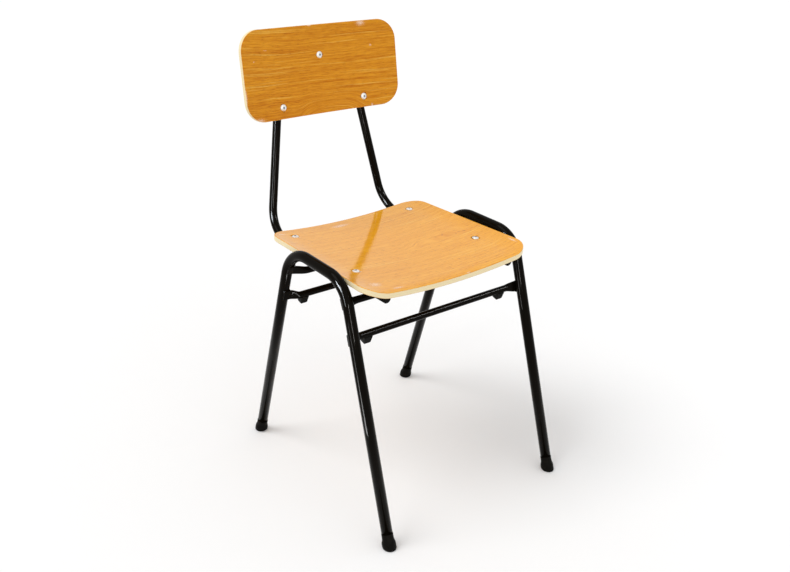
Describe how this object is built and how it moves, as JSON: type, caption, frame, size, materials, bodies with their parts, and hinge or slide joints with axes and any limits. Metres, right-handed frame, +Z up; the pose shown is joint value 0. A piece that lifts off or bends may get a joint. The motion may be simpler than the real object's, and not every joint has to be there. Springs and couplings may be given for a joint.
{
  "type": "school chair",
  "caption": "Stacking school chair: bent tube side frames joined by pressed-end cross rails, a bent tube hoop under the seat and behind the back, and moulded plywood seat and backrest.",
  "frame": {"origin": "on the floor, below the middle of the whole chair, with the feet standing on Z = 0", "axes": "+X to the viewer's right when facing the chair's front, -Y out of the chair's front, +Z up"},
  "size_m": [0.423, 0.5664, 0.7975],
  "materials": {
    "frame_paint": "glossy black paint over steel tube",
    "black_plastic": "satin black moulded plastic",
    "seat_ply": "clear gloss varnish over honey coloured veneer, pale bare edges",
    "back_ply": "clear gloss varnish over honey coloured veneer, pale bare edges",
    "bolt_zinc": "bright zinc plate"
  },
  "bodies": {
    "root": {"side_frame_left": "frame_paint", "side_frame_right": "frame_paint", "front_upper_rail": "frame_paint", "front_lower_rail": "frame_paint", "rear_upper_rail": "frame_paint", "rear_lower_rail": "frame_paint", "back_hoop": "frame_paint", "seat_panel": "seat_ply", "backrest_panel": "back_ply", "foot_cap_front_left": "black_plastic", "foot_cap_front_right": "black_plastic", "foot_cap_rear_left": "black_plastic", "foot_cap_rear_right": "black_plastic", "bumper_front_left": "black_plastic", "bumper_front_right": "black_plastic", "bumper_rear_left": "black_plastic", "bumper_rear_right": "black_plastic", "rail_plug_left": "black_plastic", "rail_plug_right": "black_plastic", "seat_bolts": "bolt_zinc", "seat_nuts": "bolt_zinc", "back_bolts": "bolt_zinc", "back_nuts": "bolt_zinc", "back_spacers": "black_plastic"}
  },
  "joints": []
}
